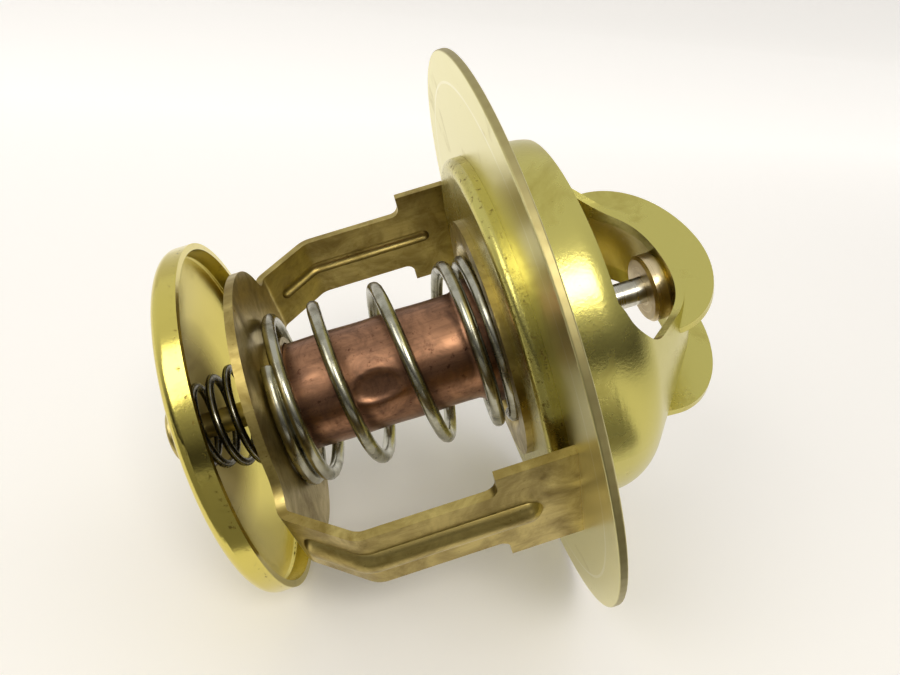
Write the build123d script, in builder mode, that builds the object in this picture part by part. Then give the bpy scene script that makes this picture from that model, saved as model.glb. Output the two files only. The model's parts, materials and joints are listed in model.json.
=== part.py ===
from build123d import *
from math import asin, atan2, cos, degrees, hypot, radians, sin, tan
import os

# Engine thermostat with a bottom bypass: a mounting flange, a domed cap whose strap holds the fixed
# pin, a stirrup frame, a wax element in a copper cup, the main valve and the bypass valve.
#
# Every piece is drawn about the element's axis. Z runs from the bypass valve to the strap, Z = 0 is
# the flange's lower face, and the frame's legs and the strap lie along X. One location then lays
# the whole thermostat on its side, on the rims of the flange and the bypass valve.

# Sheet thicknesses
flange_sheet = 0.7
cap_sheet = 0.7
frame_sheet = 0.8
plate_sheet = 0.6
retainer_sheet = 0.6
dish_sheet = 0.6
cup_sheet = 0.6

# Radial clearances: pieces fixed together, the pin in its guide, the cup in the frame's collar
press_gap = 0.02
running_gap = 0.05
sliding_gap = 0.08

# Mounting flange
flange_radius = 27.0
flange_edge_radius = 0.15

# Domed cap: valve seat at its foot, wall, shoulder, cone and flat crown
cap_radius = 17.7
seat_depth = 1.65
seat_hole_radius = 10.4
seat_edge_radius = 0.9
cap_height = 16.65
cap_slope = 39.0
shoulder_height = 7.25
shoulder_radius = 5.5
crown_radius = 9.0

# The two windows, and the strap that they leave between them
window_sill = 6.4
strap_half_width = 4.4
strap_straight = 7.6
strap_flare_radius = 6.0
window_corner = (14.75, 8.5)
window_corner_radius = 3.2
window_mouth = (7.2, 20.0)

# Wings turned up along the strap's edges, each short at one end and drawn out at the other
wing_top = 19.7
wing_short_end = (9.5, 13.5)
wing_long_end = (12.6, 12.0)
wing_lean = 7.0

# Fixed pin and its hub
pin_radius = 1.35
pin_foot = -0.6
pin_proud = 0.3
pin_edge = 0.25
hub_radius = 3.45
hub_length = 1.75
hub_edge = 0.3

# Stirrup frame: legs, ears, slanted arms, base disc with a drawn collar, and the tabs in the flange
leg_standoff = 1.8
leg_radius = cap_radius + leg_standoff
leg_width = 7.5
leg_bend_depth = 18.0
leg_bend_radius = 2.6
ear_width = 12.2
ear_height = 6.55
ear_corner_radius = 1.4
ear_root_radius = 1.0
tab_width = 5.4
tab_proud = 0.35
arm_end_radius = 15.2
arm_bend_radius = 1.6
arm_root_radius = 3.0
base_depth = 23.8
base_disc_radius = 13.3
collar_sheet = 0.6
collar_height = 1.6

# Stiffening bead along each leg and arm, round in section
bead_radius = 1.6
bead_bore_radius = 0.8
bead_sink = 0.85
bead_top = 4.6
bead_arm_length = 4.4

# Wax element: copper cup, wax, diaphragm, guide with its plug, disc and seal
cup_radius = 5.45
cup_proud = 0.8
cup_foot = -(base_depth + cup_proud)
cup_foot_radius = 1.3
mouth_radius = 6.4
mouth_top = -1.1
mouth_lip_radius = 4.4
mouth_edge_radius = 0.7
mouth_shoulder = 0.45
dimple_half_length = 2.4
dimple_half_width = 1.5
dimple_depth = 0.3
dimple_height = -14.0
dimple_angle = -46.5
diaphragm_sheet = 0.5
guide_flange_sheet = 1.2
guide_flange_edge = 0.2
neck_radius = 3.9
neck_shoulder = 0.8
nose_radius = 3.2
nose_top = 9.5
nose_edge_radius = 0.6
plug_mouth_radius = 2.7
plug_taper = 1.5
disc_sheet = 0.5
seal_radius = 2.3
seal_length = 1.0
seal_cover = 0.3

# Main valve plate and the ring that holds it on the guide
valve_radius = 12.0
crown_wall_radius = 9.7
crown_edge_radius = 0.9
brim_edge_radius = 0.4
retainer_radius = 5.3

# Main spring, with closed turns at both ends
spring_wire = 1.3
spring_radius = 8.05
spring_start_angle = -71.5
foot_turns = 1.2
open_turns = 2.65
head_turns = 1.5
turn_gap = 0.08
spring_seat_gap = 0.05

# Bypass valve, its stem and its tapered spring
dish_radius = 17.07
dish_rim_drop = 1.6
dish_rim = cup_foot - dish_rim_drop
dish_wall = 2.12
dish_corner_radius = 1.0
dish_depth = 7.0
dish_floor = dish_rim - dish_depth
dish_flat_radius = 3.4
dish_flat_rounding = 4.0
stem_radius = 1.25
stem_head_radius = 2.9
stem_head_sheet = 0.8
stem_head_edge = 0.35
washer_radius = 5.7
washer_sheet = 0.5
bypass_wire = 0.8
bypass_top_radius = 5.1
bypass_foot_radius = 3.75
bypass_turns = 3.6

# How the thermostat lies: the near leg's direction about the axis, measured from straight down
leg_roll = 73.5


def parallel(points, radii, depth):
    """Corners and radii of the bent line that runs beside the given one, this deep on its right."""
    corners = [Vector(x, z) for x, z in points]
    runs = [(after - before).normalized() for before, after in zip(corners, corners[1:])]
    sides = [Vector(run.Y, -run.X) for run in runs]
    beside = [corners[0] + sides[0] * depth]
    beside_radii = []
    for corner, radius, side, next_side in zip(corners[1:], radii, sides, sides[1:]):
        beside.append(corner + (side + next_side) * (depth / (1 + side.dot(next_side))))
        turns_right = side.cross(next_side).Z < 0
        beside_radii.append(radius - depth if turns_right else radius + depth)
    beside.append(corners[-1] + sides[-1] * depth)
    return [(corner.X, corner.Y) for corner in beside], beside_radii


def sheet_outline(points, radii, sheet):
    """Draw the closed section of a bent sheet, with one face on the points and its back on their right."""
    face = FilletPolyline(*points, radius=radii)
    back_points, back_radii = parallel(points, radii, sheet)
    back = FilletPolyline(*back_points, radius=back_radii)
    Line(face @ 0, back @ 0)
    Line(face @ 1, back @ 1)


def coil_line(radius, height, angle, runs):
    """Centre line of a coil whose runs, given as turns and pitch, follow one another upwards."""
    edges = []
    for turns, pitch in runs:
        run = Helix(pitch=pitch, height=turns * pitch, radius=radius, mode=Mode.PRIVATE)
        edges.append(Pos(0, 0, height) * Rot(0, 0, angle) * run)
        height += turns * pitch
        angle += 360 * turns
    return Wire([edge.edge() for edge in edges])


# ---------------------------------------------------------------- domed cap
crown_corner = cap_radius - (cap_height - shoulder_height) / tan(radians(cap_slope))
strap_underside = cap_height - cap_sheet
cap_corners = [
    (0, cap_height),
    (crown_corner, cap_height),
    (cap_radius, shoulder_height),
    (cap_radius, -seat_depth),
    (0, -seat_depth),
]
cap_radii = [crown_radius, shoulder_radius, seat_edge_radius]
hollow_corners, hollow_radii = parallel(cap_corners, cap_radii, cap_sheet)

# One wing: two unequal quarter ellipses on the strap's edge, with a root that ends in the cap's hollow
wing_out = Vector(0, -cos(radians(wing_lean)), -sin(radians(wing_lean)))
with BuildPart() as wing:
    with BuildSketch(
        Plane(origin=(0, -strap_half_width, strap_underside), x_dir=(1, 0, 0), z_dir=wing_out)
    ):
        with BuildLine():
            short_half = EllipticalCenterArc(
                (0, wing_short_end[1] - strap_underside),
                wing_short_end[0],
                wing_top - wing_short_end[1],
                start_angle=0,
                arc_size=90,
            )
            long_half = EllipticalCenterArc(
                (0, wing_long_end[1] - strap_underside),
                wing_long_end[0],
                wing_top - wing_long_end[1],
                start_angle=90,
                arc_size=90,
            )
            Polyline(
                long_half @ 1,
                (-wing_long_end[0], -cap_height),
                (wing_short_end[0], -cap_height),
                short_half @ 0,
            )
        make_face()
    extrude(amount=-cap_sheet)

with BuildPart() as bridge_cap:
    with BuildSketch(Plane.XZ):
        with BuildLine():
            outside = FilletPolyline(*cap_corners, radius=cap_radii)
            Line(outside @ 1, outside @ 0)
        make_face()
    revolve(axis=Axis.Z)
    with BuildSketch(Plane.XY.offset(window_sill)):
        with BuildLine():
            edge = FilletPolyline(
                (-window_mouth[0], window_mouth[1]),
                (-window_corner[0], window_corner[1]),
                (-strap_straight, strap_half_width),
                (strap_straight, strap_half_width),
                window_corner,
                window_mouth,
                radius=[
                    window_corner_radius,
                    strap_flare_radius,
                    strap_flare_radius,
                    window_corner_radius,
                ],
            )
            Line(edge @ 1, edge @ 0)
        make_face()
        mirror(about=Plane.XZ)
    extrude(amount=cap_height, mode=Mode.SUBTRACT)
    add(wing.part)
    add(Rot(0, 0, 180) * wing.part)
    with BuildSketch(Plane.XZ):
        with BuildLine():
            inside = FilletPolyline(*hollow_corners, radius=hollow_radii)
            Line(inside @ 1, inside @ 0)
        make_face()
    revolve(axis=Axis.Z, mode=Mode.SUBTRACT)
    with BuildSketch(Plane.XY.offset(-seat_depth)):
        Circle(seat_hole_radius)
    extrude(amount=cap_sheet, mode=Mode.SUBTRACT)
    with BuildSketch(Plane.XY.offset(strap_underside)):
        Circle(pin_radius + press_gap)
    extrude(amount=cap_sheet, mode=Mode.SUBTRACT)

# ---------------------------------------------------------------- flange
tab_circle_radius = leg_radius - frame_sheet / 2
with BuildPart() as flange:
    with BuildSketch():
        Circle(flange_radius)
        Circle(cap_radius + press_gap, mode=Mode.SUBTRACT)
        with PolarLocations(tab_circle_radius, 2):
            Rectangle(
                frame_sheet + 2 * press_gap, tab_width + 2 * press_gap, mode=Mode.SUBTRACT
            )
    extrude(amount=flange_sheet)
    fillet(
        flange.edges().filter_by(GeomType.CIRCLE).sort_by(SortBy.RADIUS)[-2:],
        flange_edge_radius,
    )

# ---------------------------------------------------------------- pin and hub
with BuildPart() as pin_hub:
    with BuildSketch(Plane.XY.offset(strap_underside - hub_length)):
        Circle(hub_radius)
        Circle(pin_radius + press_gap, mode=Mode.SUBTRACT)
    extrude(amount=hub_length)
    chamfer(pin_hub.edges().filter_by(GeomType.CIRCLE).sort_by(SortBy.RADIUS)[-2:], hub_edge)

with BuildPart() as piston_pin:
    with BuildSketch(Plane.XY.offset(pin_foot)):
        Circle(pin_radius)
    extrude(amount=cap_height + pin_proud - pin_foot)
    fillet(piston_pin.edges().filter_by(GeomType.CIRCLE), pin_edge)

# ---------------------------------------------------------------- stirrup frame
stirrup_corners = [
    (leg_radius, 0),
    (leg_radius, -leg_bend_depth),
    (arm_end_radius, -base_depth),
    (-arm_end_radius, -base_depth),
    (-leg_radius, -leg_bend_depth),
    (-leg_radius, 0),
]
stirrup_radii = [leg_bend_radius, arm_bend_radius, arm_bend_radius, leg_bend_radius]
collar_radius = cup_radius + sliding_gap
base_top = frame_sheet - base_depth

# The bead's centre line runs down the leg and round the bend onto the arm
bead_corners, bead_radii = parallel(stirrup_corners, stirrup_radii, bead_sink)
bead_bend, arm_foot = Vector(*bead_corners[1]), Vector(*bead_corners[2])
bead_end = bead_bend + (arm_foot - bead_bend).normalized() * bead_arm_length
inner_corners, inner_radii = parallel(stirrup_corners, stirrup_radii, frame_sheet)


def bead(radius):
    """Round rod with ball ends along the bead's centre line on the +X leg."""
    with BuildPart() as rod:
        with BuildLine(Plane.XZ) as line:
            FilletPolyline(
                (bead_bend.X, -bead_top),
                (bead_bend.X, bead_bend.Y),
                (bead_end.X, bead_end.Y),
                radius=bead_radii[0],
            )
        with BuildSketch(Plane(origin=line.line @ 0, z_dir=line.line % 0)):
            Circle(radius)
        sweep(path=line.line)
        with Locations(line.line @ 0, line.line @ 1):
            Sphere(radius)
    return rod.part


with BuildPart() as ridges:
    add(bead(bead_radius))
    mirror(about=Plane.YZ)
    with BuildSketch(Plane.XZ):
        with BuildLine():
            inner_face = FilletPolyline(*inner_corners, radius=inner_radii)
            Line(inner_face @ 1, inner_face @ 0)
        make_face()
    extrude(amount=leg_width / 2, both=True, mode=Mode.SUBTRACT)

with BuildPart() as lower_frame:
    with BuildSketch(Plane.XZ):
        with BuildLine():
            sheet_outline(stirrup_corners, stirrup_radii, frame_sheet)
        make_face()
    extrude(amount=base_disc_radius, both=True)
    with BuildSketch(Plane.XY.offset(-base_depth)) as blank:
        Circle(base_disc_radius)
        Rectangle(2 * leg_radius, leg_width)
        fillet(
            blank.vertices().filter_by(lambda corner: abs(corner.X) < base_disc_radius),
            arm_root_radius,
        )
    extrude(amount=base_depth, mode=Mode.INTERSECT)
    for leg_plane in (Plane.YZ.offset(leg_radius - frame_sheet), Plane.YZ.offset(-leg_radius)):
        with BuildSketch(leg_plane) as ear:
            with Locations((0, -ear_height / 2)):
                Rectangle(ear_width, ear_height)
            with Locations((0, -ear_height)):
                Rectangle(leg_width, ear_height)
            shoulder = ear.vertices().filter_by_position(
                Axis.Y, -ear_height - 0.01, -ear_height + 0.01
            )
            fillet(shoulder.filter_by(lambda v: abs(v.X) < ear_width / 2 - 0.01), ear_root_radius)
            fillet(shoulder.filter_by(lambda v: abs(v.X) > ear_width / 2 - 0.01), ear_corner_radius)
            with Locations((0, (flange_sheet + tab_proud) / 2)):
                Rectangle(tab_width, flange_sheet + tab_proud)
        extrude(amount=frame_sheet)
    add(ridges.part)
    add(bead(bead_bore_radius), mode=Mode.SUBTRACT)
    add(mirror(bead(bead_bore_radius), about=Plane.YZ, mode=Mode.PRIVATE), mode=Mode.SUBTRACT)
    with BuildSketch(Plane.XY.offset(base_top - frame_sheet / 2)):
        Circle(collar_radius + collar_sheet)
    extrude(amount=collar_height + frame_sheet / 2)
    with BuildSketch(Plane.XY.offset(-base_depth)):
        Circle(collar_radius)
    extrude(amount=frame_sheet + collar_height, mode=Mode.SUBTRACT)

# ---------------------------------------------------------------- wax element
ledge_height = mouth_top - cup_sheet - guide_flange_sheet - diaphragm_sheet
shoulder_foot = ledge_height - cup_sheet - mouth_shoulder
dimple = scale(Sphere(1), by=(dimple_depth, dimple_half_width, dimple_half_length))
dimple = Rot(0, 0, dimple_angle) * Pos(cup_radius, 0, dimple_height) * dimple
with BuildPart() as wax_cup:
    with BuildSketch(Plane.XZ):
        with BuildLine():
            sheet_outline(
                [
                    (mouth_lip_radius, mouth_top),
                    (mouth_radius, mouth_top),
                    (mouth_radius, ledge_height - cup_sheet + mouth_shoulder),
                    (cup_radius, shoulder_foot),
                    (cup_radius, cup_foot),
                    (0, cup_foot),
                ],
                [mouth_edge_radius, 1.0, 1.0, cup_foot_radius],
                cup_sheet,
            )
        make_face()
    revolve(axis=Axis.Z)
    add(dimple, mode=Mode.SUBTRACT)

wax_radius = cup_radius - cup_sheet - press_gap
with BuildPart() as wax_charge:
    with BuildSketch(Plane.XY.offset(cup_foot + cup_sheet)):
        Circle(wax_radius)
    extrude(amount=ledge_height - cup_foot - cup_sheet)
    fillet(wax_charge.edges().filter_by(GeomType.CIRCLE).sort_by(Axis.Z)[0], cup_foot_radius)

packing_radius = mouth_radius - cup_sheet - press_gap
guide_foot = ledge_height + diaphragm_sheet
with BuildPart() as diaphragm:
    with BuildSketch(Plane.XY.offset(ledge_height)):
        Circle(packing_radius)
    extrude(amount=diaphragm_sheet)
    fillet(diaphragm.edges().filter_by(GeomType.CIRCLE).sort_by(Axis.Z)[0], diaphragm_sheet / 2)

# The guide's bore tapers from the diaphragm to the pin; its nose closes over the seal's pocket
bore_radius = pin_radius + running_gap
retainer_foot = mouth_top + plate_sheet
neck_top = retainer_foot + retainer_sheet
seal_top = nose_top - seal_cover
seal_foot = seal_top - seal_length
with BuildPart() as element_guide:
    with BuildSketch(Plane.XZ):
        with BuildLine():
            Polyline(
                (plug_mouth_radius, guide_foot),
                (packing_radius, guide_foot),
                (packing_radius, guide_foot + guide_flange_sheet - guide_flange_edge),
                (packing_radius - guide_flange_edge, guide_foot + guide_flange_sheet),
                (neck_radius, guide_foot + guide_flange_sheet),
                (neck_radius, neck_top),
                (nose_radius, neck_top + neck_shoulder),
                (nose_radius, nose_top),
                (bore_radius + seal_cover, nose_top),
                (bore_radius + seal_cover, seal_top),
                (seal_radius, seal_top),
                (seal_radius, seal_foot),
                (bore_radius, seal_foot),
                (bore_radius, guide_foot + plug_taper),
                close=True,
            )
        make_face()
    revolve(axis=Axis.Z)
    fillet(
        element_guide.edges().filter_by(GeomType.CIRCLE)
        .filter_by_position(Axis.Z, nose_top - 0.01, nose_top + 0.01).sort_by(SortBy.RADIUS)[-1],
        nose_edge_radius,
    )

disc_foot = pin_foot - disc_sheet
with BuildPart() as piston_plug:
    with BuildSketch(Plane.XZ):
        with BuildLine():
            Polyline(
                (0, guide_foot),
                (plug_mouth_radius - press_gap, guide_foot),
                (pin_radius, guide_foot + plug_taper),
                (pin_radius, disc_foot),
                (0, disc_foot),
                close=True,
            )
        make_face()
    revolve(axis=Axis.Z)

with BuildPart() as piston_disc:
    with BuildSketch(Plane.XY.offset(disc_foot)):
        Circle(pin_radius)
    extrude(amount=disc_sheet)

with BuildPart() as guide_seal:
    with BuildSketch(Plane.XY.offset(seal_foot)):
        Circle(seal_radius - press_gap)
        Circle(bore_radius, mode=Mode.SUBTRACT)
    extrude(amount=seal_length)

# ---------------------------------------------------------------- main valve
plate_hole_radius = neck_radius + press_gap
with BuildPart() as valve_plate:
    with BuildSketch(Plane.XZ):
        with BuildLine():
            sheet_outline(
                [
                    (plate_hole_radius, retainer_foot),
                    (crown_wall_radius, retainer_foot),
                    (crown_wall_radius, -seat_depth),
                    (valve_radius, -seat_depth),
                ],
                [crown_edge_radius, brim_edge_radius],
                plate_sheet,
            )
        make_face()
    revolve(axis=Axis.Z)

with BuildPart() as plate_retainer:
    with BuildSketch(Plane.XY.offset(retainer_foot)):
        Circle(retainer_radius)
        Circle(plate_hole_radius, mode=Mode.SUBTRACT)
    extrude(amount=retainer_sheet)

# ---------------------------------------------------------------- main spring
closed_pitch = spring_wire + turn_gap
spring_foot = base_top + spring_wire / 2 + spring_seat_gap
spring_head = mouth_top - spring_wire / 2 - spring_seat_gap
open_rise = spring_head - spring_foot - (foot_turns + head_turns) * closed_pitch
with BuildPart() as main_spring:
    spring_line = coil_line(
        spring_radius,
        spring_foot,
        spring_start_angle,
        [
            (foot_turns, closed_pitch),
            (open_turns, open_rise / open_turns),
            (head_turns, closed_pitch),
        ],
    )
    with BuildSketch(Plane(origin=spring_line @ 0, z_dir=spring_line % 0)):
        Circle(spring_wire / 2)
    sweep(path=spring_line, is_frenet=True)

# ---------------------------------------------------------------- bypass valve
dish_foot = dish_rim - dish_wall
with BuildPart() as bypass_valve:
    with BuildSketch(Plane.XZ):
        with BuildLine():
            sheet_outline(
                [
                    (dish_radius, dish_rim),
                    (dish_radius, dish_foot),
                    (dish_flat_radius, dish_floor),
                    (stem_radius + running_gap, dish_floor),
                ],
                [dish_corner_radius, dish_flat_rounding],
                dish_sheet,
            )
        make_face()
    revolve(axis=Axis.Z)

with BuildPart() as bypass_stem:
    with BuildSketch(Plane.XY.offset(dish_floor)):
        Circle(stem_radius)
    extrude(amount=cup_foot - dish_floor)
    with BuildSketch(Plane.XY.offset(dish_floor)):
        Circle(stem_head_radius)
    extrude(amount=-stem_head_sheet)
    fillet(bypass_stem.edges().filter_by(GeomType.CIRCLE).sort_by(Axis.Z)[0], stem_head_edge)

with BuildPart() as spring_washer:
    with BuildSketch(Plane.XY.offset(cup_foot)):
        Circle(washer_radius)
        Circle(stem_radius + press_gap, mode=Mode.SUBTRACT)
    extrude(amount=-washer_sheet)

dish_slope = atan2(dish_foot - dish_floor, dish_radius - dish_flat_radius)
bypass_foot = (
    dish_floor
    + (dish_sheet + bypass_wire / 2 + spring_seat_gap) / cos(dish_slope)
    + (bypass_foot_radius - dish_flat_radius) * tan(dish_slope)
)
bypass_head = cup_foot - washer_sheet - bypass_wire / 2 - spring_seat_gap
bypass_rise = bypass_head - bypass_foot
with BuildPart() as bypass_spring:
    bypass_line = Pos(0, 0, bypass_foot) * Helix(
        pitch=bypass_rise / bypass_turns,
        height=bypass_rise,
        radius=bypass_foot_radius,
        cone_angle=degrees(atan2(bypass_top_radius - bypass_foot_radius, bypass_rise)),
        mode=Mode.PRIVATE,
    )
    with BuildSketch(Plane(origin=bypass_line @ 0, z_dir=bypass_line % 0)):
        Circle(bypass_wire / 2)
    sweep(path=bypass_line, is_frenet=True)

# ---------------------------------------------------------------- lying pose and files
# The floor touches the flange's rounded edge and the bypass valve's rounded corner
dish_corner_turn = radians(90) - dish_slope
dish_corner_height = dish_foot + dish_corner_radius * tan(dish_corner_turn / 2)
lying_run = flange_edge_radius - dish_corner_height
lying_drop = (flange_radius - flange_edge_radius) - (dish_radius - dish_corner_radius)
tilt = atan2(lying_drop, lying_run) + asin(
    (flange_edge_radius - dish_corner_radius) / hypot(lying_run, lying_drop)
)
axis_height = (
    (flange_radius - flange_edge_radius) * cos(tilt)
    - flange_edge_radius * sin(tilt)
    + flange_edge_radius
)
roll = radians(leg_roll)
turned = Plane(
    origin=(0, 0, axis_height),
    x_dir=(sin(tilt) * cos(roll), -sin(roll), -cos(tilt) * cos(roll)),
    z_dir=(cos(tilt), 0, sin(tilt)),
).location

os.makedirs("parts", exist_ok=True)
pieces = {
    "flange": flange,
    "bridge_cap": bridge_cap,
    "lower_frame": lower_frame,
    "pin_hub": pin_hub,
    "piston_pin": piston_pin,
    "main_spring": main_spring,
    "valve_plate": valve_plate,
    "plate_retainer": plate_retainer,
    "element_guide": element_guide,
    "guide_seal": guide_seal,
    "piston_disc": piston_disc,
    "piston_plug": piston_plug,
    "diaphragm": diaphragm,
    "wax_charge": wax_charge,
    "wax_cup": wax_cup,
    "spring_washer": spring_washer,
    "bypass_stem": bypass_stem,
    "bypass_spring": bypass_spring,
    "bypass_valve": bypass_valve,
}

# The origin is on the floor, below the middle of the whole
whole = Compound([piece.part.moved(turned) for piece in pieces.values()])
lying = Pos(-whole.bounding_box().center().X, 0, 0) * turned
for name, piece in pieces.items():
    laid = piece.part.moved(lying)
    laid.label = name
    export_step(laid, f"parts/{name}.step")
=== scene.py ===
import json
import math
from functools import partial

import bmesh
import bpy
from bpy.props import FloatProperty, FloatVectorProperty, PointerProperty
from mathutils import Matrix, Quaternion, Vector


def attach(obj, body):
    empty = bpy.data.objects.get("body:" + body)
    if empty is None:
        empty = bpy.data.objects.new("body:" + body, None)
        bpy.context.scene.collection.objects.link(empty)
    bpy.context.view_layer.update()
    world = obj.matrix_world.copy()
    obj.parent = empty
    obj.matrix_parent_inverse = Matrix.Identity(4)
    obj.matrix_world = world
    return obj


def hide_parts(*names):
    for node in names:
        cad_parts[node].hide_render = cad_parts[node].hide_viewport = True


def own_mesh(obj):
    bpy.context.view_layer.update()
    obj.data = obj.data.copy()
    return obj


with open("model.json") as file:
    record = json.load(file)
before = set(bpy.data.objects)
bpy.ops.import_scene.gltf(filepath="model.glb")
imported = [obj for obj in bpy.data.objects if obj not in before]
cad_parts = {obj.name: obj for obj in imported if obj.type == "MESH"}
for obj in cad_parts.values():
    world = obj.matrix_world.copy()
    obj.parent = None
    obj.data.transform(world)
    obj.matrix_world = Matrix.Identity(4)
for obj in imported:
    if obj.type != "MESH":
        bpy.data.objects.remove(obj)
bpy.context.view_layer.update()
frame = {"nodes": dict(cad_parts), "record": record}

# Engine thermostat: finishes for its sheet, turned and moulded pieces, a drawn cup and smooth
# coil springs that stand for the frame's own, and the plain pale stage that it lies on.

bl_info = {
    "name": "Engine thermostat",
    "version": (1, 0, 0),
    "blender": (4, 5, 0),
    "location": "3D View > Sidebar > Engine thermostat",
    "description": "Finishes, springs and stage for an engine thermostat",
    "category": "Object",
}

MM = 0.001

# Sockets of a mix node that lays one colour over another
BASE, OVER = 6, 7
MIXED = 2

# The wax element's axis, from the frame's own mounts, points from the bypass valve to the strap
mounts = {mount["name"]: mount for mount in frame["record"]["mounts"]}
AXIS = Vector(mounts["flange_rim"]["axis"]).normalized()
rim_centre = Vector(mounts["flange_rim"]["pos_m"])
seat_point = Vector(mounts["flange_seat"]["pos_m"])
FLANGE_CENTRE = rim_centre - AXIS * AXIS.dot(rim_centre - seat_point)

# Axis frame: X along the near leg and the strap, Y to a window, Z along the axis from the flange
WINDOW = (seat_point - FLANGE_CENTRE).normalized()
LEG = WINDOW.cross(AXIS)
PLACE = Matrix((LEG, WINDOW, AXIS)).transposed().to_4x4()
PLACE.translation = FLANGE_CENTRE


def hex_colour(code):
    """Linear colour from an sRGB hex code."""
    channels = [int(code[i:i + 2], 16) / 255 for i in (1, 3, 5)]
    linear = [c / 12.92 if c <= 0.04045 else ((c + 0.055) / 1.055) ** 2.4 for c in channels]
    return (*linear, 1.0)


def set_inputs(node, inputs):
    """Give a node's inputs values or links."""
    for key, value in inputs.items():
        if isinstance(value, bpy.types.NodeSocket):
            node.id_data.links.new(value, node.inputs[key])
        else:
            node.inputs[key].default_value = value


def add_node(tree, kind, inputs, out=0, stops=(), **settings):
    """Add a node with its properties, inputs and colour stops, and return one of its outputs."""
    node = tree.nodes.new(kind)
    for name, value in settings.items():
        setattr(node, name, value)
    set_inputs(node, inputs)
    for index, (position, colour) in enumerate(stops):
        elements = node.color_ramp.elements
        element = elements[index] if index < len(elements) else elements.new(position)
        element.position = position
        element.color = colour
    return node.outputs[out]


def new_material(name):
    """A material, its shader, a call that adds nodes to it, and the place in the axis frame."""
    material = bpy.data.materials.new(name)
    material.use_nodes = True
    add = partial(add_node, material.node_tree)
    to_axis = PLACE.inverted()
    place = add("ShaderNodeMapping", {
        "Vector": add("ShaderNodeTexCoord", {}, "Object"),
        "Location": to_axis.translation,
        "Rotation": to_axis.to_euler(),
    })
    return material, material.node_tree.nodes["Principled BSDF"], add, place


def about_axis(add, place):
    """Distance from the axis and height above the flange's lower face, in millimetres, and both
    as one vector, on which a pattern runs in rings round the axis."""
    parts = [add("ShaderNodeSeparateXYZ", {"Vector": place}, letter) for letter in "XYZ"]
    flat = add("ShaderNodeCombineXYZ", {"X": parts[0], "Y": parts[1]})
    metres = add("ShaderNodeVectorMath", {0: flat}, "Value", operation="LENGTH")
    distance = add("ShaderNodeMath", {0: metres, 1: 1 / MM}, operation="MULTIPLY")
    height = add("ShaderNodeMath", {0: parts[2], 1: 1 / MM}, operation="MULTIPLY")
    return distance, height, add("ShaderNodeCombineXYZ", {"X": distance, "Z": height})


# In millimetres, heights of the cap's middle and of its wings' feet, how far from the strap's
# middle is clear of the wings, which bound the painted bounce light, and the radius and half width
# of the line that the gasket rubs
CAP_MIDDLE = 6
WING_FOOT = 11.5
BETWEEN_WINGS = 2.9
GASKET_EDGE = 24.3
RUBBED = 0.12

# How softly a band of dirt starts and ends, and a band of distances that lies past every piece,
# for no painted shade
SOFT_EDGE = 0.3
NO_SHADE_BAND = (98, 99)


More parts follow.
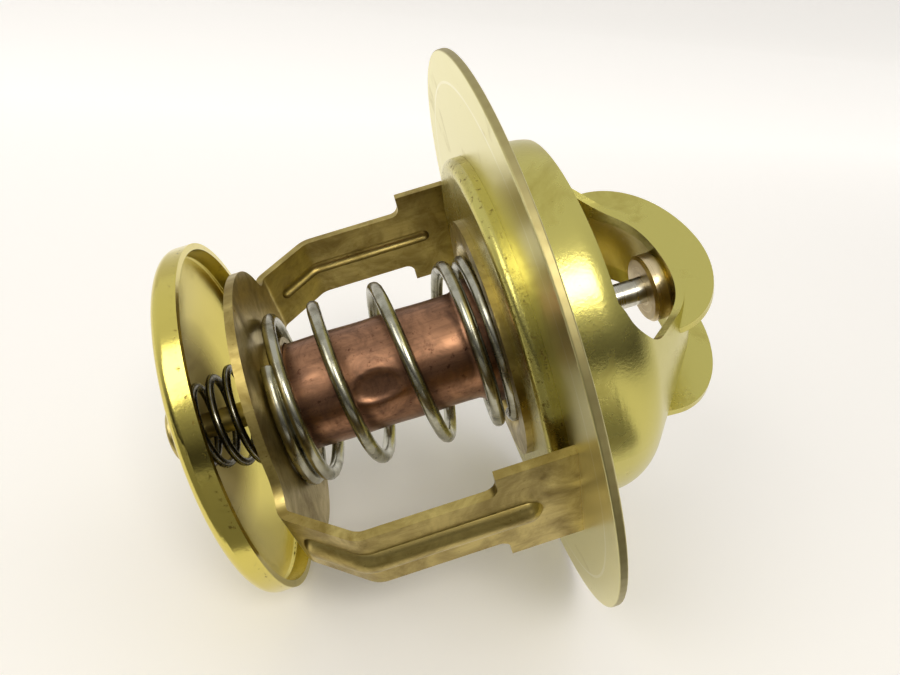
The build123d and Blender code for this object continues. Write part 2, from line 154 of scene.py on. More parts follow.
def pressed_brass(
    name, clean, inside, film, dirt_and_shade, rough, grain_depth, film_start, dirt_band, painted_shade_band
):
    """Pressed yellow brass sheet.

    The die leaves it bright, with faint rings, soft waves and an orange-peel grain. Water leaves
    a thin brown film in clouds, and grime dries in specks, most of all in the band of heights
    given. The band of distances from the axis given is painted dull and dark brown, as shade:
    at the sheared edge of a flat piece and in the middle of a dished one. The cap's inner walls,
    but not its wings, get a paler copy of the brass: painted bounce light where they mirror each
    other.
    """
    material, shader, add, place = new_material(name)
    distance, height, rings_at = about_axis(add, place)

    # Painted bounce light: inner walls turn towards the cap's middle; those below the wings' feet,
    # and those near the strap's middle, get a paler copy of the brass
    outward = add("ShaderNodeVectorMath", {
        0: add("ShaderNodeTexCoord", {}, "Object"), 1: PLACE @ Vector((0, 0, CAP_MIDDLE * MM)),
    }, operation="SUBTRACT")
    facing = add("ShaderNodeVectorMath", {
        0: outward, 1: add("ShaderNodeTexCoord", {}, "Normal"),
    }, "Value", operation="DOT_PRODUCT")
    faces_in = add("ShaderNodeMath", {0: facing, 1: 0.0}, operation="LESS_THAN")
    across = add("ShaderNodeSeparateXYZ", {"Vector": place}, "Y")
    aside = add("ShaderNodeMath", {0: across}, operation="ABSOLUTE")
    between = add("ShaderNodeMath", {0: aside, 1: BETWEEN_WINGS * MM}, operation="LESS_THAN")
    below = add("ShaderNodeMath", {0: height, 1: WING_FOOT}, operation="LESS_THAN")
    off_wings = add("ShaderNodeMath", {0: between, 1: below}, operation="MAXIMUM")
    inner = add("ShaderNodeMath", {0: faces_in, 1: off_wings}, operation="MULTIPLY")
    bright = add("ShaderNodeMix", {0: inner, BASE: clean, OVER: inside}, MIXED, data_type="RGBA")

    # Clouds of film about 6 mm across
    clouds = add("ShaderNodeTexNoise", {
        "Vector": place, "Scale": 1 / (6 * MM), "Detail": 6, "Roughness": 0.62, "Distortion": 0.5,
    })
    filmed = add("ShaderNodeMapRange", {
        "Value": clouds, "From Min": film_start, "From Max": film_start + 0.22, "To Max": 0.85,
    })
    colour = add("ShaderNodeMix", {0: filmed, BASE: bright, OVER: film}, MIXED, data_type="RGBA")

    # Specks of dirt about half a millimetre across
    specks = add("ShaderNodeTexNoise", {
        "Vector": place, "Scale": 1 / (0.55 * MM), "Detail": 5, "Roughness": 0.7,
    })
    low, high = dirt_band
    above = add("ShaderNodeMapRange", {
        "Value": height, "From Min": low - SOFT_EDGE, "From Max": low + SOFT_EDGE,
    })
    gathered = add("ShaderNodeMapRange", {
        "Value": height, "From Min": high - SOFT_EDGE, "From Max": high + SOFT_EDGE,
        "To Min": above, "To Max": 0.0,
    })
    limit = add("ShaderNodeMapRange", {"Value": gathered, "To Min": 0.69, "To Max": 0.57})
    over = add("ShaderNodeMath", {0: specks, 1: limit}, operation="SUBTRACT")
    spotted = add("ShaderNodeMapRange", {"Value": over, "From Max": 0.08, "To Max": 0.8})
    colour = add("ShaderNodeMix", {0: spotted, BASE: colour, OVER: dirt_and_shade}, MIXED, data_type="RGBA")

    # Faint bright line rubbed by the edge of the gasket, which only the flange is wide enough for
    rubbed = add("ShaderNodeMath", {
        0: distance, 1: GASKET_EDGE, 2: RUBBED,
    }, operation="COMPARE")
    faint = add("ShaderNodeMath", {0: rubbed, 1: clouds}, operation="MULTIPLY")
    colour = add("ShaderNodeMix", {
        0: faint, BASE: colour, OVER: hex_colour("#FFFBE0"),
    }, MIXED, data_type="RGBA")

    # Painted shade: a dull, dark brown band of distances from the axis
    dull_from, dull_full = painted_shade_band
    shade_band = add("ShaderNodeMapRange", {
        "Value": distance, "From Min": dull_from, "From Max": dull_full, "To Max": 0.65,
    })
    colour = add("ShaderNodeMix", {0: shade_band, BASE: colour, OVER: dirt_and_shade}, MIXED, data_type="RGBA")

    dull = add("ShaderNodeMapRange", {"Value": filmed, "To Min": rough, "To Max": rough + 0.14})
    # Dirt specks and the painted shade are both duller
    stained = add("ShaderNodeMath", {0: spotted, 1: shade_band}, operation="MAXIMUM")
    roughness = add("ShaderNodeMath", {0: stained, 1: 0.25, 2: dull}, operation="MULTIPLY_ADD")

    # Waves of 4 mm, die rings 0.5 mm apart, and grain of 0.25 mm, drawn coarser than it is so
    # that it shows
    waves = add("ShaderNodeTexNoise", {"Vector": place, "Scale": 1 / (4 * MM), "Detail": 1})
    rings = add("ShaderNodeTexNoise", {"Vector": rings_at, "Scale": 1 / 0.5, "Detail": 3})
    grain = add("ShaderNodeTexNoise", {"Vector": place, "Scale": 1 / (0.25 * MM), "Detail": 3})
    fine = add("ShaderNodeMath", {0: rings, 1: grain}, operation="ADD")
    wavy = add("ShaderNodeBump", {"Height": waves, "Distance": 0.06 * MM, "Strength": 0.6})
    relief = add("ShaderNodeBump", {
        "Height": fine, "Distance": grain_depth * MM, "Strength": 0.5, "Normal": wavy,
    })
    set_inputs(shader, {
        "Base Color": colour, "Metallic": 1.0, "Roughness": roughness, "Normal": relief,
    })
    return material


def worn_brass(name, clean, film, dirt_and_shade, rough):
    """Brass strip, bent into the frame or pressed into the valve plate: brown film all over, fine
    rolling marks along the axis, and dark specks where it was handled."""
    material, shader, add, place = new_material(name)
    along = add("ShaderNodeMapping", {"Vector": place, "Scale": (1, 1, 0.1)})
    clouds = add("ShaderNodeTexNoise", {
        "Vector": place, "Scale": 1 / (4 * MM), "Detail": 6, "Roughness": 0.65, "Distortion": 0.7,
    })
    rolled = add("ShaderNodeTexNoise", {
        "Vector": along, "Scale": 1 / (0.35 * MM), "Detail": 4, "Roughness": 0.55,
    })
    specks = add("ShaderNodeTexNoise", {
        "Vector": place, "Scale": 1 / (0.5 * MM), "Detail": 5, "Roughness": 0.75,
    })
    filmed = add("ShaderNodeMapRange", {"Value": clouds, "From Min": 0.38, "From Max": 0.66})
    colour = add("ShaderNodeMix", {0: filmed, BASE: clean, OVER: film}, MIXED, data_type="RGBA")
    streaked = add("ShaderNodeMapRange", {
        "Value": rolled, "From Min": 0.5, "From Max": 0.75, "To Max": 0.4,
    })
    colour = add("ShaderNodeMix", {0: streaked, BASE: colour, OVER: film}, MIXED, data_type="RGBA")
    spotted = add("ShaderNodeMapRange", {
        "Value": specks, "From Min": 0.62, "From Max": 0.70, "To Max": 0.75,
    })
    colour = add("ShaderNodeMix", {0: spotted, BASE: colour, OVER: dirt_and_shade}, MIXED, data_type="RGBA")
    roughness = add("ShaderNodeMapRange", {
        "Value": clouds, "From Min": 0.3, "From Max": 0.7, "To Min": rough, "To Max": rough + 0.2,
    })
    relief = add("ShaderNodeBump", {"Height": rolled, "Distance": 0.015 * MM, "Strength": 0.6})
    set_inputs(shader, {
        "Base Color": colour, "Metallic": 1.0, "Roughness": roughness, "Normal": relief,
    })
    return material


def drawn_copper(name, clean, film, dark):
    """Deep drawn copper: fine marks along the cup, pink metal with brown tarnish in clouds, and
    small dark nicks from handling."""
    material, shader, add, place = new_material(name)
    along = add("ShaderNodeMapping", {"Vector": place, "Scale": (1, 1, 0.1)})
    streaks = add("ShaderNodeTexNoise", {
        "Vector": along, "Scale": 1 / (0.45 * MM), "Detail": 5, "Roughness": 0.55,
    })
    clouds = add("ShaderNodeTexNoise", {
        "Vector": place, "Scale": 1 / (3 * MM), "Detail": 6, "Roughness": 0.68, "Distortion": 0.9,
    })
    nicks = add("ShaderNodeTexNoise", {
        "Vector": place, "Scale": 1 / (0.6 * MM), "Detail": 6, "Roughness": 0.75,
    })
    tarnished = add("ShaderNodeMapRange", {
        "Value": clouds, "From Min": 0.38, "From Max": 0.66, "To Max": 0.85,
    })
    colour = add("ShaderNodeMix", {0: tarnished, BASE: clean, OVER: film}, MIXED, data_type="RGBA")
    streaked = add("ShaderNodeMapRange", {
        "Value": streaks, "From Min": 0.46, "From Max": 0.76, "To Max": 0.5,
    })
    colour = add("ShaderNodeMix", {0: streaked, BASE: colour, OVER: film}, MIXED, data_type="RGBA")
    nicked = add("ShaderNodeMapRange", {
        "Value": nicks, "From Min": 0.57, "From Max": 0.68, "To Max": 0.85,
    })
    colour = add("ShaderNodeMix", {0: nicked, BASE: colour, OVER: dark}, MIXED, data_type="RGBA")
    roughness = add("ShaderNodeMapRange", {
        "Value": clouds, "From Min": 0.3, "From Max": 0.7, "To Min": 0.27, "To Max": 0.46,
    })
    scuffs = add("ShaderNodeBump", {"Height": nicks, "Distance": 0.02 * MM, "Strength": 0.5})
    relief = add("ShaderNodeBump", {
        "Height": streaks, "Distance": 0.03 * MM, "Strength": 0.6, "Normal": scuffs,
    })
    set_inputs(shader, {
        "Base Color": colour, "Metallic": 1.0, "Roughness": roughness, "Normal": relief,
    })
    return material


def drawn_wire(name, clean, film, rough):
    """Spring wire, nickel plated on the main spring: drawn smooth, with faint dull patches. The
    bypass spring's darker colours are painted shade.
    """
    material, shader, add, place = new_material(name)
    clouds = add("ShaderNodeTexNoise", {"Vector": place, "Scale": 1 / (1.6 * MM), "Detail": 4})
    grain = add("ShaderNodeTexNoise", {"Vector": place, "Scale": 1 / (0.4 * MM), "Detail": 3})
    filmed = add("ShaderNodeMapRange", {"Value": clouds, "From Min": 0.45, "From Max": 0.7})
    colour = add("ShaderNodeMix", {0: filmed, BASE: clean, OVER: film}, MIXED, data_type="RGBA")
    roughness = add("ShaderNodeMapRange", {
        "Value": clouds, "From Min": 0.3, "From Max": 0.7, "To Min": rough, "To Max": rough + 0.1,
    })
    relief = add("ShaderNodeBump", {"Height": grain, "Distance": 0.006 * MM, "Strength": 0.4})
    set_inputs(shader, {
        "Base Color": colour, "Metallic": 1.0, "Roughness": roughness, "Normal": relief,
    })
    return material


def turned_metal(name, clean, film, rough):
    """Lathe-turned metal: fine rings about the axis in a satin surface."""
    material, shader, add, place = new_material(name)
    rings_at = about_axis(add, place)[2]
    rings = add("ShaderNodeTexNoise", {"Vector": rings_at, "Scale": 1 / 0.25, "Detail": 3})
    clouds = add("ShaderNodeTexNoise", {"Vector": place, "Scale": 1 / (2.5 * MM), "Detail": 4})
    filmed = add("ShaderNodeMapRange", {"Value": clouds, "From Min": 0.4, "From Max": 0.7})
    colour = add("ShaderNodeMix", {0: filmed, BASE: clean, OVER: film}, MIXED, data_type="RGBA")
    roughness = add("ShaderNodeMapRange", {
        "Value": rings, "From Min": 0.3, "From Max": 0.7, "To Min": rough, "To Max": rough + 0.15,
    })
    relief = add("ShaderNodeBump", {"Height": rings, "Distance": 0.01 * MM, "Strength": 0.4})
    set_inputs(shader, {
        "Base Color": colour, "Metallic": 1.0, "Roughness": roughness, "Normal": relief,
    })
    return material


def moulded(name, clean, shade, rough):
    """Moulded rubber, plastic or wax: no metal, a faint cloud of colour and a fine grain."""
    material, shader, add, place = new_material(name)
    clouds = add("ShaderNodeTexNoise", {"Vector": place, "Scale": 1 / (1.5 * MM), "Detail": 4})
    grain = add("ShaderNodeTexNoise", {"Vector": place, "Scale": 1 / (0.2 * MM), "Detail": 3})
    clouded = add("ShaderNodeMapRange", {"Value": clouds, "From Min": 0.35, "From Max": 0.7})
    colour = add("ShaderNodeMix", {0: clouded, BASE: clean, OVER: shade}, MIXED, data_type="RGBA")
    relief = add("ShaderNodeBump", {"Height": grain, "Distance": 0.01 * MM, "Strength": 0.4})
    set_inputs(shader, {
        "Base Color": colour, "Metallic": 0.0, "Roughness": rough, "Normal": relief,
    })
    return material


def dress(node, material):
    """Give a node of the frame its material."""
    mesh = frame["nodes"][node].data
    mesh.materials.clear()
    mesh.materials.append(material)


class SheetBrassSettings(bpy.types.PropertyGroup):
    """Colours of the pressed sheet pieces."""

    clean: FloatVectorProperty(
        name="Clean brass", description="Bright brass as the die left it", subtype="COLOR",
        size=4, default=hex_colour("#C8BF6C"),
    )
    # Paler copy of the brass for the cap's inner walls: painted bounce light
    inside: FloatVectorProperty(
        name="Inner brass, painted bounce light", description="Brass of the cap's inner walls", subtype="COLOR",
        size=4, default=hex_colour("#E4D792"),
    )
    film: FloatVectorProperty(
        name="Brass under film", description="Brass under a thin brown film", subtype="COLOR",
        size=4, default=hex_colour("#A99A4A"),
    )
    # Colour of the dirt specks, and of the painted shade at the flange's edge and in the dish's
    # middle
    dirt_and_shade: FloatVectorProperty(
        name="Dirt", description="Specks of dried dirt", subtype="COLOR",
        size=4, default=hex_colour("#6B5425"),
    )
    # Paler copy of the brass for the whole flange: painted reflection of the pale floor that it
    # mirrors at a grazing angle
    flange: FloatVectorProperty(
        name="Flange brass", description="Flat sheet, paler where it was rubbed", subtype="COLOR",
        size=4, default=hex_colour("#EBE4A6"),
    )
    dish: FloatVectorProperty(
        name="Dish brass", description="Bright brass of the bypass valve", subtype="COLOR",
        size=4, default=hex_colour("#D6C768"),
    )
    strip: FloatVectorProperty(
        name="Frame strip", description="Brass strip of the frame", subtype="COLOR",
        size=4, default=hex_colour("#BFAC6A"),
    )
    strip_film: FloatVectorProperty(
        name="Frame under film", description="Frame strip where it is brownest", subtype="COLOR",
        size=4, default=hex_colour("#88753E"),
    )
    rough: FloatProperty(
        name="Roughness", description="Roughness of the bright brass", default=0.17,
        min=0.0, max=1.0, subtype="FACTOR",
    )


class ElementSettings(bpy.types.PropertyGroup):
    """Colours of the wax element's cup, and the place of its dent."""

    copper: FloatVectorProperty(
        name="Copper", description="Pink copper of the cup", subtype="COLOR",
        size=4, default=hex_colour("#A87C5E"),
    )
    tarnish: FloatVectorProperty(
        name="Tarnish", description="Brown film on the cup", subtype="COLOR",
        size=4, default=hex_colour("#62483A"),
    )
    dent_angle: FloatProperty(
        name="Dent angle", description="Degrees about the axis from the near leg to the dent",
        default=-34.0,
    )
    dent_height: FloatProperty(
        name="Dent height", description="Height of the dent from the flange",
        default=-13.7 * MM, unit="LENGTH",
    )
    nicks: FloatVectorProperty(
        name="Nicks", description="Dark marks on the cup", subtype="COLOR",
        size=4, default=hex_colour("#4A2A20"),
    )


class SpringSettings(bpy.types.PropertyGroup):
    """Sizes of the two coil springs, and colours of the main one."""

    main_wire: FloatProperty(
        name="Main wire", description="Wire diameter of the main spring",
        default=1.3 * MM, unit="LENGTH",
    )
    main_radius: FloatProperty(
        name="Main coil radius", description="Radius of the main spring's centre line",
        default=8.05 * MM, unit="LENGTH",
    )
    bypass_wire: FloatProperty(
        name="Bypass wire", description="Wire diameter of the bypass spring",
        default=0.8 * MM, unit="LENGTH",
    )
    bypass_turns: FloatProperty(
        name="Bypass turns", description="Turns of the bypass spring", default=3.6, min=1,
    )
    bypass_foot_radius: FloatProperty(
        name="Bypass foot radius", description="Coil radius on the bypass valve",
        default=3.75 * MM, unit="LENGTH",
    )
    bypass_head_radius: FloatProperty(
        name="Bypass head radius", description="Coil radius under the wax element",
        default=5.1 * MM, unit="LENGTH",
    )
    bypass_foot: FloatProperty(
        name="Bypass foot height", description="Height of the lowest wire from the flange",
        default=-31.95 * MM, unit="LENGTH",
    )
    bypass_head: FloatProperty(
        name="Bypass head height", description="Height of the highest wire from the flange",
        default=-25.55 * MM, unit="LENGTH",
    )
    wire_colour: FloatVectorProperty(
        name="Wire", description="Nickel plated wire of the main spring", subtype="COLOR",
        size=4, default=hex_colour("#B2B0A0"),
    )
    wire_shade: FloatVectorProperty(
        name="Wire shade", description="Dull patches on the wire", subtype="COLOR",
        size=4, default=hex_colour("#827F6C"),
    )


class StageSettings(bpy.types.PropertyGroup):
    """Floor colour and strength of the lights."""

    floor_colour: FloatVectorProperty(
        name="Floor", description="Colour of the floor", subtype="COLOR",
        size=4, default=hex_colour("#F7F4F0"),
    )
    floor_glow: FloatProperty(
        name="Floor glow", description="How far the floor is lifted towards white", default=0.06,
    )
    room_light: FloatProperty(
        name="Room light", description="Strength of the room's light", default=0.84,
    )
    key_power: FloatProperty(
        name="Key light", description="Power of the light behind the viewer",
        default=0.62, unit="POWER",
    )
    fill_power: FloatProperty(
        name="Side light", description="Power of the light from the left",
        default=0.52, unit="POWER",
    )


class FinishSheetPieces(bpy.types.Operator):
    """Finish the cap, the flange, the frame, the valve plate and the bypass valve in brass"""

    bl_idname = "thermostat.finish_sheet_pieces"
    bl_label = "Finish sheet pieces"

    def execute(self, context):
        brass = context.scene.sheet_brass
        # The cap's inner walls get painted bounce light
        dress("bridge_cap", pressed_brass(
            "pressed brass, domed", brass.clean, brass.inside, brass.film, brass.dirt_and_shade,
            rough=brass.rough + 0.09, grain_depth=0.020, film_start=0.55, dirt_band=(-1.8, 0.0),
            painted_shade_band=NO_SHADE_BAND,
        ))
        # The flange's paler brass is painted reflection
        dress("flange", pressed_brass(
            "pressed brass, flat", brass.flange, brass.flange, brass.film, brass.dirt_and_shade,
            rough=brass.rough + 0.12, grain_depth=0.010, film_start=0.60, dirt_band=(-0.3, -0.2),
            # Painted shade at the flange's sheared edge
            painted_shade_band=(26.88, 27.0),
        ))
        dress("bypass_valve", pressed_brass(
            "pressed brass, dished", brass.dish, brass.dish, brass.film, brass.dirt_and_shade,
            rough=brass.rough, grain_depth=0.010, film_start=0.60, dirt_band=(-27.0, -26.3),
            # Painted shade in the dish's middle, darker towards the axis
            painted_shade_band=(11.0, 7.5),
        ))
        dress("lower_frame", worn_brass(
            "bent brass strip", brass.strip, brass.strip_film, brass.dirt_and_shade,
            rough=brass.rough + 0.1,
        ))
        dress("valve_plate", worn_brass(
            "pressed brass, stained", brass.strip, brass.strip_film, brass.dirt_and_shade,
            rough=brass.rough + 0.05,
        ))
        return {"FINISHED"}


LONG_RUN = 10 * MM


def lathe(corners, cuts, steps):
    """Turn a line round the axis.

    Each corner is (radius, height, rounding) in millimetres, where rounding is how far from the
    corner its arc starts. Each long run of the line gets a number of equal cuts.
    """
    bm = bmesh.new()
    line = [bm.verts.new((radius * MM, 0, height * MM)) for radius, height, _ in corners]
    for first, second in zip(line, line[1:]):
        bm.edges.new((first, second))
    for vertex, (_, _, rounding) in zip(line, corners):
        if rounding:
            bmesh.ops.bevel(
                bm, geom=[vertex], offset=rounding * MM, offset_type="OFFSET", affect="VERTICES",
                segments=6, profile=0.5, material=-1,
            )
    long_runs = [edge for edge in bm.edges if edge.calc_length() > LONG_RUN]
    bmesh.ops.subdivide_edges(bm, edges=long_runs, cuts=cuts)
    bmesh.ops.spin(
        bm, geom=bm.verts[:] + bm.edges[:], cent=(0, 0, 0), axis=(0, 0, 1),
        angle=math.radians(360), steps=steps, use_merge=True,
    )
    bmesh.ops.remove_doubles(bm, verts=bm.verts, dist=1e-7)
    bmesh.ops.recalc_face_normals(bm, faces=bm.faces)
    return bm


def new_object(name, bm, material):
    """Put an object with a bmesh's shape and one material in the scene."""
    mesh = bpy.data.meshes.new(name)
    bm.to_mesh(mesh)
    bm.free()
    mesh.shade_smooth()
    mesh.materials.append(material)
    piece = bpy.data.objects.new(name, mesh)
    bpy.context.scene.collection.objects.link(piece)
    return piece


def finish_piece(name, bm, material, body, node):
    """Make the piece that a bmesh in the axis frame describes, and let it stand for a node."""
    if not all(edge.is_manifold for edge in bm.edges):
        raise RuntimeError(f"{name} has an open seam")
    bmesh.ops.transform(bm, matrix=PLACE, verts=bm.verts)
    piece = new_object(name, bm, material)
    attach(piece, body)
    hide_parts(node)
    return piece


# The copper cup's closed wall, as corners for the lathe, then its radius, the radius past which
# it is dented and wavy, and the size of its dent, in millimetres
CUP_WALL = [
    (0.0, -24.0, 0), (4.85, -24.0, 0.6), (4.85, -3.4, 0), (5.8, -3.4, 0), (5.8, -1.7, 0.1),
    (4.4, -1.7, 0), (4.4, -1.1, 0.12), (6.4, -1.1, 0.65), (6.4, -3.55, 0.35),
    (5.45, -4.45, 0.35), (5.45, -24.6, 1.2), (0.0, -24.6, 0),
]
CUP_RADIUS = 5.45
SHAPED_PAST = 5.3
DENT_HALF_LENGTH = 2.4
DENT_HALF_WIDTH = 1.45
DENT_DEPTH = 0.5

# Waves that the draw leaves, as a share of the radius, with the angle, in radians, that they
# turn through in each millimetre along the cup and how often they repeat round it
WAVE = 0.006
WAVE_TURN = 0.9
WAVE_LOBES = 2


class DrawCup(bpy.types.Operator):
    """Draw the copper cup with its stepped mouth and the dent that locks the wax in"""

    bl_idname = "thermostat.draw_cup"
    bl_label = "Draw copper cup"

    def execute(self, context):
        cup = context.scene.wax_element
        bm = lathe(CUP_WALL, cuts=60, steps=120)
        dent_angle = math.radians(cup.dent_angle)
        for vertex in bm.verts:
            radius = vertex.co.xy.length
            if radius < SHAPED_PAST * MM:
                continue
            turn = math.atan2(vertex.co.y, vertex.co.x)
            from_dent = (turn - dent_angle + math.pi) % (2 * math.pi) - math.pi
            along = (vertex.co.z - cup.dent_height) / (DENT_HALF_LENGTH * MM)
            across = from_dent * CUP_RADIUS / DENT_HALF_WIDTH
            reach = along ** 2 + across ** 2
            if reach < 1:
                depth = DENT_DEPTH * MM * (1 - reach) ** 0.5
                vertex.co.xy *= (radius - depth) / radius
            else:
                wave = math.sin(vertex.co.z / MM * WAVE_TURN + WAVE_LOBES * turn)
                vertex.co.xy *= 1 - WAVE - WAVE * wave
        finish_piece(
            "drawn_cup", bm, drawn_copper("drawn copper", cup.copper, cup.tarnish, cup.nicks),
            "main_valve", "wax_cup",
        )
        return {"FINISHED"}


# How each finish is made, its name, its two colours, its roughness and the nodes that have it
ELEMENT_FINISHES = [
    (
        turned_metal, "turned brass", "#C9B878", "#9A8648", 0.28,
        ["element_guide", "plate_retainer", "spring_washer", "bypass_stem"],
    ),
    (turned_metal, "ground steel", "#D8D5C8", "#ABA798", 0.22, ["piston_pin"]),
    (turned_metal, "turned nickel silver", "#E0CFA6", "#BCA77C", 0.24, ["pin_hub"]),
    (
        moulded, "moulded rubber", "#1B1B1C", "#2A2A2B", 0.6,
        ["guide_seal", "piston_plug", "diaphragm"],
    ),
    (moulded, "moulded white plastic", "#E4E2DA", "#D5D2C6", 0.4, ["piston_disc"]),
    (moulded, "wax with copper powder", "#B47F52", "#8C5B38", 0.5, ["wax_charge"]),
]


class FinishElement(bpy.types.Operator):
    """Finish the wax element's guide, stem, rings, rubber, disc and wax, and its pin and hub"""

    bl_idname = "thermostat.finish_element"
    bl_label = "Finish wax element"

    def execute(self, context):
        for make, name, clean, shade, roughness, nodes in ELEMENT_FINISHES:
            material = make(name, hex_colour(clean), hex_colour(shade), roughness)
            for node in nodes:
                dress(node, material)
        return {"FINISHED"}


# Corners round the wire, rings of them in one turn of a coil, the radius, in metres, at which
# the wire is spun before it gets its own, and the bevel of its ends as a share of the wire
RING = 14
TURN_STEPS = 40
SPIN_RADIUS = 1
END_BEVEL = 0.12


def wind(wire, first_angle, last_angle, radius_at, height_at):
    """Closed wire coil about the axis, whose radius and height follow the angle in degrees."""
    bm = bmesh.new()
    upright = Matrix.Translation((SPIN_RADIUS, 0, 0)) @ Matrix.Rotation(math.radians(90), 4, "X")
    bmesh.ops.create_circle(bm, segments=RING, radius=wire / 2, matrix=upright)
    steps = round((last_angle - first_angle) / 360 * TURN_STEPS)
    start = Matrix.Rotation(math.radians(first_angle), 4, "Z")
    bmesh.ops.transform(bm, matrix=start, verts=bm.verts)
    bmesh.ops.spin(
        bm, geom=bm.verts[:] + bm.edges[:], cent=(0, 0, 0), axis=(0, 0, 1),
        angle=math.radians(last_angle - first_angle), steps=steps,
    )
    bm.verts.index_update()
    for vertex in bm.verts:
        angle = first_angle + (vertex.index // RING) * (last_angle - first_angle) / steps
        outward = Vector((math.cos(math.radians(angle)), math.sin(math.radians(angle)), 0))
        vertex.co += outward * (radius_at(angle) - SPIN_RADIUS)
        vertex.co.z += height_at(angle)

    # Closed ends with their edges broken
    rims = [edge for edge in bm.edges if edge.is_boundary]
    bmesh.ops.holes_fill(bm, edges=rims, sides=RING)
    bmesh.ops.bevel(
        bm, geom=rims, offset=wire * END_BEVEL, offset_type="OFFSET", affect="EDGES",
        segments=2, profile=0.5, material=-1,
    )
    bmesh.ops.recalc_face_normals(bm, faces=bm.faces)
    return bm


def on_line(stations, angle):
    """Value at an angle on the straight runs between (angle, value) stations."""
    for (low, before), (high, after) in zip(stations, stations[1:]):
        if angle <= high:
            break
    return before + (after - before) * (angle - low) / (high - low)


def on_soft_line(stations, angle, reach=45, parts=4):
    """As on_line, averaged over a reach of angles to each side, which rounds the corners."""
    first, last = stations[0][0], stations[-1][0]
    steps = range(-parts, parts + 1)
    around = [min(max(angle + reach * step / parts, first), last) for step in steps]
    return sum(on_line(stations, a) for a in around) / len(around)


# Height of the main spring's wire, in millimetres, at angles in degrees from the near leg
MAIN_COIL = [
    (-71.5, -22.30), (223.5, -22.2), (313.5, -21.0), (403.5, -20.9), (583.5, -17.7),
    (763.5, -15.35), (943.5, -11.5), (1123.5, -8.8), (1303.5, -4.4), (1483.5, -3.6),
    (1663.5, -2.6), (1843.5, -1.95), (1854.5, -1.85),
]


class WindMainSpring(bpy.types.Operator):
    """Wind the main spring between the frame's base and the valve plate"""

    bl_idname = "thermostat.wind_main_spring"
    bl_label = "Wind main spring"

    def execute(self, context):
        springs = context.scene.springs
        bm = wind(
            springs.main_wire, MAIN_COIL[0][0], MAIN_COIL[-1][0],
            lambda angle: springs.main_radius,
            lambda angle: on_soft_line(MAIN_COIL, angle) * MM,
        )
        wire = drawn_wire(
            "nickel plated spring wire", springs.wire_colour, springs.wire_shade, rough=0.2
        )
        spring = finish_piece("main_coil", bm, wire, "frame_body", "main_spring")
        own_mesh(spring)
        return {"FINISHED"}


class WindBypassSpring(bpy.types.Operator):
    """Wind the tapered spring between the bypass valve and the wax element"""

    bl_idname = "thermostat.wind_bypass_spring"
    bl_label = "Wind bypass spring"

    def execute(self, context):
        springs = context.scene.springs
        last = 360 * springs.bypass_turns
        narrow, wide = springs.bypass_foot_radius, springs.bypass_head_radius
        foot, head = springs.bypass_foot, springs.bypass_head
        bm = wind(
            springs.bypass_wire, 0, last,
            lambda angle: narrow + (wide - narrow) * angle / last,
            lambda angle: foot + (head - foot) * angle / last,
        )
        # Darker copy of the wire colour for the bypass spring: painted shade
        wire = drawn_wire(
            "spring wire in painted shade", hex_colour("#8E8B7E"), hex_colour("#5F5C50"), rough=0.2
        )
        spring = finish_piece(
            "bypass_coil", bm, wire, "main_valve", "bypass_spring"
        )
        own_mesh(spring)
        return {"FINISHED"}


BACK_GLOW = 0.36


def paper_material(colour, floor_glow):
    """Matt white paper. Where it is seen or mirrored it glows a little, and more to the back,
    which makes the backdrop white."""
    material = bpy.data.materials.new("matt paper")
    material.use_nodes = True
    add = partial(add_node, material.node_tree)
    seen = add("ShaderNodeLightPath", {}, "Is Camera Ray")
    for other in ("Is Glossy Ray", "Is Transmission Ray"):
        ray = add("ShaderNodeLightPath", {}, other)
        seen = add("ShaderNodeMath", {0: seen, 1: ray}, operation="MAXIMUM")
    back = add("ShaderNodeSeparateXYZ", {"Vector": add("ShaderNodeTexCoord", {}, "Object")}, "Y")
    glow = add("ShaderNodeMapRange", {
        "Value": back, "From Min": 0.0, "From Max": 0.25, "To Min": floor_glow,
        "To Max": floor_glow + BACK_GLOW,
    })
    set_inputs(material.node_tree.nodes["Principled BSDF"], {
        "Base Color": colour,
        "Roughness": 0.55,
        "Emission Color": colour,
        "Emission Strength": add("ShaderNodeMath", {0: seen, 1: glow}, operation="MULTIPLY"),
    })
    return material


def painted_shade_material():
    """Dull dark grey, painted shade: bright metal shows a dark patch where it mirrors it."""
    material = bpy.data.materials.new("painted shade sheet")
    material.use_nodes = True
    set_inputs(material.node_tree.nodes["Principled BSDF"], {
        "Base Color": hex_colour("#7A786F"), "Roughness": 0.9,
    })
    return material


# Floor and painted-shade card, in metres. A reach is from the middle of a square to its side
FLOOR_REACH = 1.6
FLOOR_BEND = 0.6
WALL_HEIGHT = 1.2
WALL_LEAN = 0.05
CARD_REACH = 0.2
CARD_PLACE = (-0.158, -0.228, 0.0004)


def lay_floor(paper):
    """Floor that rises behind the thermostat in one soft bend."""
    bm = bmesh.new()
    bmesh.ops.create_grid(bm, x_segments=1, y_segments=1, size=FLOOR_REACH)
    far = [edge for edge in bm.edges if all(vertex.co.y > 0 for vertex in edge.verts)]
    wall = bmesh.ops.extrude_edge_only(bm, edges=far)["geom"]
    top = [item for item in wall if isinstance(item, bmesh.types.BMVert)]
    bmesh.ops.translate(bm, vec=(0, WALL_LEAN, WALL_HEIGHT), verts=top)
    bmesh.ops.bevel(
        bm, geom=far, offset=FLOOR_BEND, offset_type="OFFSET", affect="EDGES", segments=16,
        profile=0.5, material=-1,
    )
    bmesh.ops.recalc_face_normals(bm, faces=bm.faces)
    floor = new_object("floor", bm, paper)


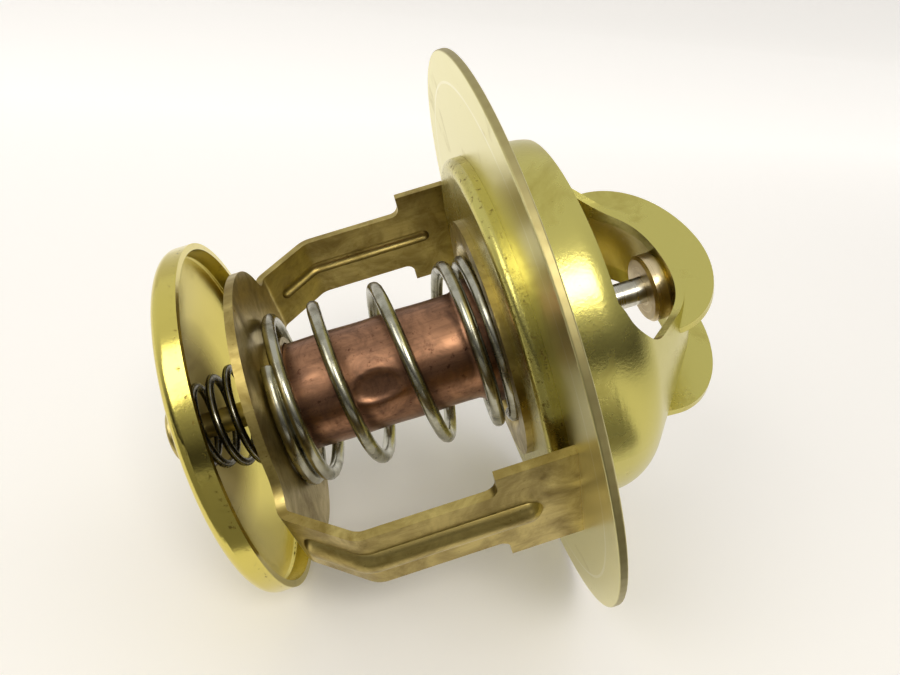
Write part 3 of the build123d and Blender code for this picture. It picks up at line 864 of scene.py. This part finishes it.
def lay_painted_shade_card(painted_shade):
    """Dark card on the floor in front, which only the bright metal sees: painted shade for the
    shaded floor that it mirrors there.
    """
    bm = bmesh.new()
    bmesh.ops.create_grid(bm, x_segments=1, y_segments=1, size=CARD_REACH)
    bmesh.ops.translate(bm, vec=CARD_PLACE, verts=bm.verts)
    card = new_object("painted_shade_card", bm, painted_shade)
    card.visible_camera = card.visible_diffuse = card.visible_shadow = False


def studio_world(floor_colour, strength):
    """Room light: pale wall behind and ceiling above, darker room low down in front of the
    object. Where the room itself is seen, it has the floor's colour."""
    world = bpy.data.worlds.new("studio")
    world.use_nodes = True
    add = partial(add_node, world.node_tree)
    direction = add("ShaderNodeTexCoord", {}, "Generated")
    up = add("ShaderNodeSeparateXYZ", {"Vector": direction}, "Z")
    back = add("ShaderNodeSeparateXYZ", {"Vector": direction}, "Y")
    front_room = add("ShaderNodeValToRGB", {"Fac": up}, stops=[
        (0.0, hex_colour("#2C2A29")),
        (0.20, hex_colour("#3E3B39")),
        (0.50, hex_colour("#B4B2AE")),
        (1.0, hex_colour("#F4F3F0")),
    ])
    back_room = add("ShaderNodeValToRGB", {"Fac": up}, stops=[
        (0.0, hex_colour("#FFFFFF")),
        (1.0, hex_colour("#F4F3F0")),
    ])
    nearness = add("ShaderNodeMapRange", {"Value": back, "From Min": -0.35, "From Max": 0.25})
    room = add("ShaderNodeMix", {
        0: nearness, BASE: front_room, OVER: back_room,
    }, MIXED, data_type="RGBA")
    shown = add("ShaderNodeMix", {
        0: add("ShaderNodeLightPath", {}, "Is Camera Ray"), BASE: room, OVER: floor_colour,
    }, MIXED, data_type="RGBA")
    set_inputs(world.node_tree.nodes["Background"], {"Color": shown, "Strength": strength})
    return world


# Camera and lights, in metres and degrees
CAMERA_PLACE = (-0.014261, -0.059752, 0.056095)
CAMERA_AIM = (0.00070, 0.00080, 0.02431)
CAMERA_ROLL = 6.331
LIGHT_AIM = (0, 0, 0.02)


def area_light(name, place, size, power, colour):
    """Add a rectangular soft light that shines on the thermostat from a place."""
    lamp = bpy.data.lights.new(name, "AREA")
    lamp.shape = "RECTANGLE"
    lamp.size, lamp.size_y = size
    lamp.energy = power
    lamp.color = colour[:3]
    light = bpy.data.objects.new(name, lamp)
    light.location = place
    towards = Vector(LIGHT_AIM) - Vector(place)
    light.rotation_euler = towards.to_track_quat("-Z", "Y").to_euler()
    bpy.context.scene.collection.objects.link(light)


def set_camera():
    """Camera in front of the thermostat and a little above it, turned about its own view."""
    lens = bpy.data.cameras.new("camera")
    lens.lens = 28
    lens.sensor_width = 36
    lens.clip_start = 0.001
    camera = bpy.data.objects.new("camera", lens)
    camera.location = CAMERA_PLACE
    aim = (Vector(CAMERA_AIM) - camera.location).to_track_quat("-Z", "Y")
    roll = Quaternion((0, 0, 1), math.radians(CAMERA_ROLL))
    camera.rotation_euler = (aim @ roll).to_euler()
    bpy.context.scene.collection.objects.link(camera)
    bpy.context.scene.camera = camera


class BuildStage(bpy.types.Operator):
    """Lay the pale floor and set the camera and the soft lights"""

    bl_idname = "thermostat.build_stage"
    bl_label = "Build stage"

    def execute(self, context):
        stage = context.scene.stage
        lay_floor(paper_material(stage.floor_colour, stage.floor_glow))
        # Dark card of painted shade, seen only in the metal's reflections
        lay_painted_shade_card(painted_shade_material())
        context.scene.world = studio_world(stage.floor_colour, stage.room_light)
        area_light(
            "key light", place=(0.017, -0.28, 0.32), size=(0.16, 0.12), power=stage.key_power,
            colour=hex_colour("#FFFBF2"),
        )
        area_light(
            "side light", place=(-0.30, -0.18, 0.32), size=(0.22, 0.22), power=stage.fill_power,
            colour=hex_colour("#FFFDF8"),
        )
        set_camera()
        context.scene.view_settings.view_transform = "Standard"
        return {"FINISHED"}


class ThermostatPanel(bpy.types.Panel):
    """Sizes, colours and steps of the thermostat"""

    bl_idname = "VIEW3D_PT_engine_thermostat"
    bl_label = "Engine thermostat"
    bl_space_type = "VIEW_3D"
    bl_region_type = "UI"
    bl_category = "Engine thermostat"

    def draw(self, context):
        for group, operators in STEPS:
            box = self.layout.box()
            settings = getattr(context.scene, group)
            for name in settings.__annotations__:
                box.prop(settings, name)
            for operator in operators:
                box.operator(operator.bl_idname)


GROUPS = {
    "sheet_brass": SheetBrassSettings,
    "wax_element": ElementSettings,
    "springs": SpringSettings,
    "stage": StageSettings,
}
STEPS = [
    ("sheet_brass", [FinishSheetPieces]),
    ("wax_element", [DrawCup, FinishElement]),
    ("springs", [WindMainSpring, WindBypassSpring]),
    ("stage", [BuildStage]),
]


def register():
    for name, group in GROUPS.items():
        bpy.utils.register_class(group)
        setattr(bpy.types.Scene, name, PointerProperty(type=group))
    for _, operators in STEPS:
        for operator in operators:
            bpy.utils.register_class(operator)
    bpy.utils.register_class(ThermostatPanel)


def unregister():
    bpy.utils.unregister_class(ThermostatPanel)
    for _, operators in reversed(STEPS):
        for operator in reversed(operators):
            bpy.utils.unregister_class(operator)
    for name, group in reversed(GROUPS.items()):
        delattr(bpy.types.Scene, name)
        bpy.utils.unregister_class(group)


def main():
    register()
    for _, operators in STEPS:
        for operator in operators:
            getattr(bpy.ops.thermostat, operator.bl_idname.split(".")[1])()


if __name__ == "__main__":
    main()
